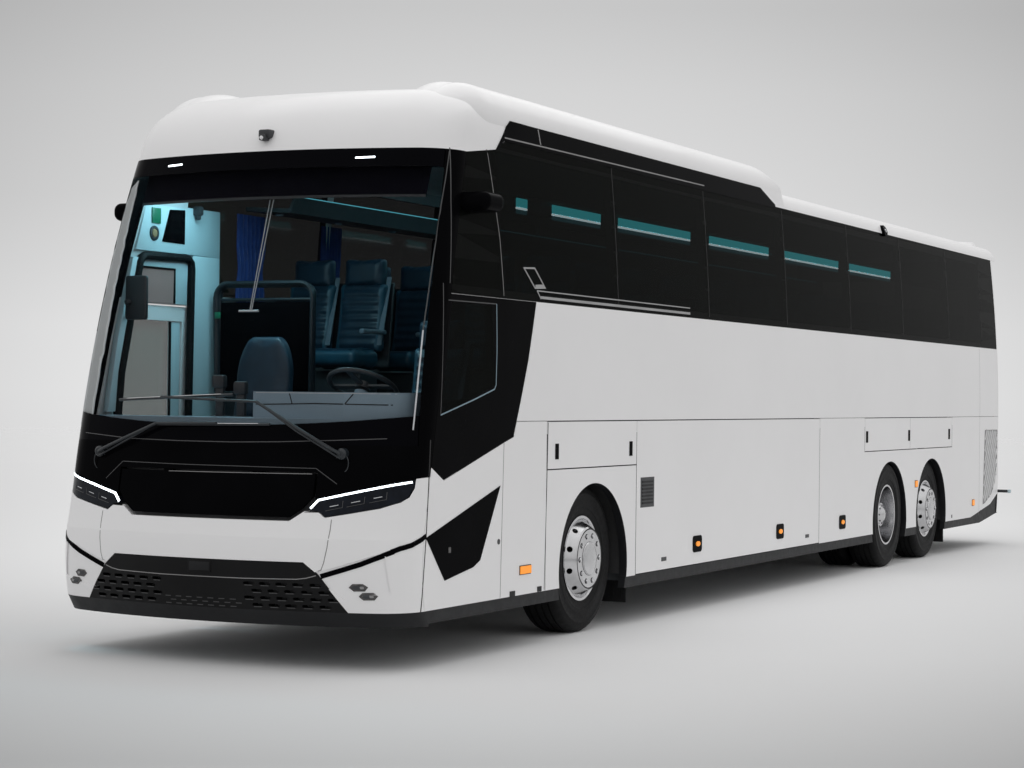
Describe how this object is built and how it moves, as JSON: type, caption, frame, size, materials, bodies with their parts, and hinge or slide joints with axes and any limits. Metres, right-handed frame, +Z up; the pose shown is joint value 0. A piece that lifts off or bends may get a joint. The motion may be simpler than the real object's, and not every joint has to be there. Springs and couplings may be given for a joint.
{
  "type": "coach bus",
  "caption": "Tri-axle touring coach with a wrap-round windscreen, dark glazed sides, raised roof fairings, steered wheels, plug doors and hinged luggage doors.",
  "frame": {"origin": "on the road under the middle of the coach, at the centre of its box", "axes": "+Y to the tail, -Y to the nose, +X to the driver side (left of the coach), +Z up"},
  "size_m": [2.83, 15.0046, 3.6798],
  "materials": {
    "body_paint": "gloss",
    "dark_gloss": "gloss",
    "grille_plastic": "satin",
    "skirt_plastic": "satin",
    "lamp_glass": "gloss",
    "clear_glass": "gloss",
    "tinted_glass": "gloss",
    "tail_lens": "gloss",
    "frame_steel": "satin",
    "bay_lining": "satin",
    "floor_lining": "matt",
    "housing_steel": "matt",
    "engine_iron": "matt",
    "axle_iron": "matt",
    "dash_plastic": "matt",
    "seat_leather": "satin",
    "rack_plastic": "satin",
    "tyre_rubber": "matt",
    "wheel_alloy": "polished"
  },
  "bodies": {
    "coach": {"axle_drive": "axle_iron", "axle_front": "axle_iron", "axle_tag": "axle_iron", "black_skirt": "skirt_plastic", "camera_pods": "dark_gloss", "chassis_frame": "frame_steel", "dark_panels": "dark_gloss", "dashboard": "dash_plastic", "engine_block": "engine_iron", "entry_rail": "rack_plastic", "floors": "floor_lining", "front_bumper": "body_paint", "headlamps": "lamp_glass", "lower_grille": "grille_plastic", "luggage_bay": "bay_lining", "luggage_racks": "rack_plastic", "roof_cap": "body_paint", "roof_fairings": "body_paint", "roof_shell": "body_paint", "seats": "seat_leather", "side_glass_left": "tinted_glass", "side_glass_right": "tinted_glass", "side_wall_left": "body_paint", "side_wall_right": "body_paint", "tail_lamps": "tail_lens", "tail_wall": "body_paint", "tail_window": "tinted_glass", "wheel_housings": "housing_steel", "windscreen": "clear_glass"},
    "knuckle_front_left": {"knuckle_front_left": "axle_iron"},
    "wheel_front_left": {"tyre_front_left": "tyre_rubber", "rim_front_left": "wheel_alloy"},
    "knuckle_tag_left": {"knuckle_tag_left": "axle_iron"},
    "wheel_tag_left": {"tyre_tag_left": "tyre_rubber", "rim_tag_left": "wheel_alloy"},
    "wheel_drive_left": {"tyre_drive_left": "tyre_rubber", "rim_drive_left": "wheel_alloy"},
    "knuckle_front_right": {"knuckle_front_right": "axle_iron"},
    "wheel_front_right": {"tyre_front_right": "tyre_rubber", "rim_front_right": "wheel_alloy"},
    "knuckle_tag_right": {"knuckle_tag_right": "axle_iron"},
    "wheel_tag_right": {"tyre_tag_right": "tyre_rubber", "rim_tag_right": "wheel_alloy"},
    "wheel_drive_right": {"tyre_drive_right": "tyre_rubber", "rim_drive_right": "wheel_alloy"},
    "steering_wheel": {"steering_wheel": "dash_plastic"},
    "luggage_door_left": {"luggage_door_left": "body_paint"},
    "front_flap_left": {"front_flap_left": "body_paint"},
    "rear_flap_left": {"rear_flap_left": "body_paint"},
    "luggage_door_right": {"luggage_door_right": "body_paint"},
    "front_flap_right": {"front_flap_right": "body_paint"},
    "rear_flap_right": {"rear_flap_right": "body_paint"},
    "engine_lid": {"engine_lid": "body_paint"},
    "mask_lid": {"mask_lid": "dark_gloss"},
    "entry_door_arm": {"entry_door_arm": "frame_steel"},
    "entry_door": {"entry_door": "body_paint", "entry_door_glass": "clear_glass"},
    "mid_door_arm": {"mid_door_arm": "frame_steel"},
    "mid_door": {"mid_door": "body_paint", "mid_door_glass": "tinted_glass"}
  },
  "joints": [
    {"name": "steer_front_left", "type": "hinge", "parent": "coach", "child": "knuckle_front_left", "pos_m": [0.925, -4.5, 0.52], "axis": [0, 0, 1], "range_deg": [-42, 42]},
    {"name": "steer_front_right", "type": "hinge", "parent": "coach", "child": "knuckle_front_right", "pos_m": [-0.925, -4.5, 0.52], "axis": [0, 0, 1], "range_deg": [-42, 42]},
    {"name": "steer_tag_left", "type": "hinge", "parent": "coach", "child": "knuckle_tag_left", "pos_m": [0.925, 4.34, 0.52], "axis": [0, 0, 1], "range_deg": [-14, 14]},
    {"name": "steer_tag_right", "type": "hinge", "parent": "coach", "child": "knuckle_tag_right", "pos_m": [-0.925, 4.34, 0.52], "axis": [0, 0, 1], "range_deg": [-14, 14]},
    {"name": "spin_front_left", "type": "hinge", "parent": "knuckle_front_left", "child": "wheel_front_left", "pos_m": [1.07, -4.5, 0.52], "axis": [1, 0, 0], "continuous": true},
    {"name": "spin_tag_left", "type": "hinge", "parent": "knuckle_tag_left", "child": "wheel_tag_left", "pos_m": [1.07, 4.34, 0.52], "axis": [1, 0, 0], "continuous": true},
    {"name": "spin_drive_left", "type": "hinge", "parent": "coach", "child": "wheel_drive_left", "pos_m": [1, 2.8, 0.52], "axis": [1, 0, 0], "continuous": true},
    {"name": "spin_front_right", "type": "hinge", "parent": "knuckle_front_right", "child": "wheel_front_right", "pos_m": [-1.07, -4.5, 0.52], "axis": [1, 0, 0], "continuous": true},
    {"name": "spin_tag_right", "type": "hinge", "parent": "knuckle_tag_right", "child": "wheel_tag_right", "pos_m": [-1.07, 4.34, 0.52], "axis": [1, 0, 0], "continuous": true},
    {"name": "spin_drive_right", "type": "hinge", "parent": "coach", "child": "wheel_drive_right", "pos_m": [-1, 2.8, 0.52], "axis": [1, 0, 0], "continuous": true},
    {"name": "steering_wheel_turn", "type": "hinge", "parent": "coach", "child": "steering_wheel", "pos_m": [0.6, -6.6, 1.7], "axis": [0, 0.4695, 0.8829], "range_deg": [-760, 760]},
    {"name": "luggage_door_left_lift", "type": "hinge", "parent": "coach", "child": "luggage_door_left", "pos_m": [1.275, -1.607, 1.482], "axis": [0, -1, 0], "range_deg": [0, 80]},
    {"name": "front_flap_left_lift", "type": "hinge", "parent": "coach", "child": "front_flap_left", "pos_m": [1.275, -4.5235, 1.482], "axis": [0, -1, 0], "range_deg": [0, 80]},
    {"name": "rear_flap_left_lift", "type": "hinge", "parent": "coach", "child": "rear_flap_left", "pos_m": [1.275, 3.539, 1.482], "axis": [0, -1, 0], "range_deg": [0, 80]},
    {"name": "luggage_door_right_lift", "type": "hinge", "parent": "coach", "child": "luggage_door_right", "pos_m": [-1.275, -1.607, 1.482], "axis": [0, 1, 0], "range_deg": [0, 80]},
    {"name": "front_flap_right_lift", "type": "hinge", "parent": "coach", "child": "front_flap_right", "pos_m": [-1.275, -4.5235, 1.482], "axis": [0, 1, 0], "range_deg": [0, 80]},
    {"name": "rear_flap_right_lift", "type": "hinge", "parent": "coach", "child": "rear_flap_right", "pos_m": [-1.275, 3.539, 1.482], "axis": [0, 1, 0], "range_deg": [0, 80]},
    {"name": "engine_lid_lift", "type": "hinge", "parent": "coach", "child": "engine_lid", "pos_m": [0, 7.492, 1.5], "axis": [1, 0, 0], "range_deg": [0, 75]},
    {"name": "mask_lid_lift", "type": "hinge", "parent": "coach", "child": "mask_lid", "pos_m": [0, -7.411, 1.17], "axis": [-1, 0, 0], "range_deg": [0, 65]},
    {"name": "entry_door_swing", "type": "hinge", "parent": "coach", "child": "entry_door_arm", "pos_m": [-1.13, -6.7, 0.6], "axis": [0, 0, 1], "range_deg": [0, 118]},
    {"name": "entry_door_level", "type": "hinge", "parent": "entry_door_arm", "child": "entry_door", "pos_m": [-1.13, -6.1, 0.6], "axis": [0, 0, 1], "range_deg": [-118, 0]},
    {"name": "mid_door_swing", "type": "hinge", "parent": "coach", "child": "mid_door_arm", "pos_m": [-1.13, 1.73, 0.6], "axis": [0, 0, -1], "range_deg": [0, 118]},
    {"name": "mid_door_level", "type": "hinge", "parent": "mid_door_arm", "child": "mid_door", "pos_m": [-1.13, 1.13, 0.6], "axis": [0, 0, -1], "range_deg": [-118, 0]}
  ],
  "couplings": [
    {"joint": "steer_front_right", "follows": "steer_front_left", "ratio": 1},
    {"joint": "steer_tag_left", "follows": "steer_front_left", "ratio": -0.3333},
    {"joint": "steer_tag_right", "follows": "steer_front_left", "ratio": -0.3333},
    {"joint": "steering_wheel_turn", "follows": "steer_front_left", "ratio": 18},
    {"joint": "entry_door_level", "follows": "entry_door_swing", "ratio": -1},
    {"joint": "mid_door_level", "follows": "mid_door_swing", "ratio": -1}
  ]
}
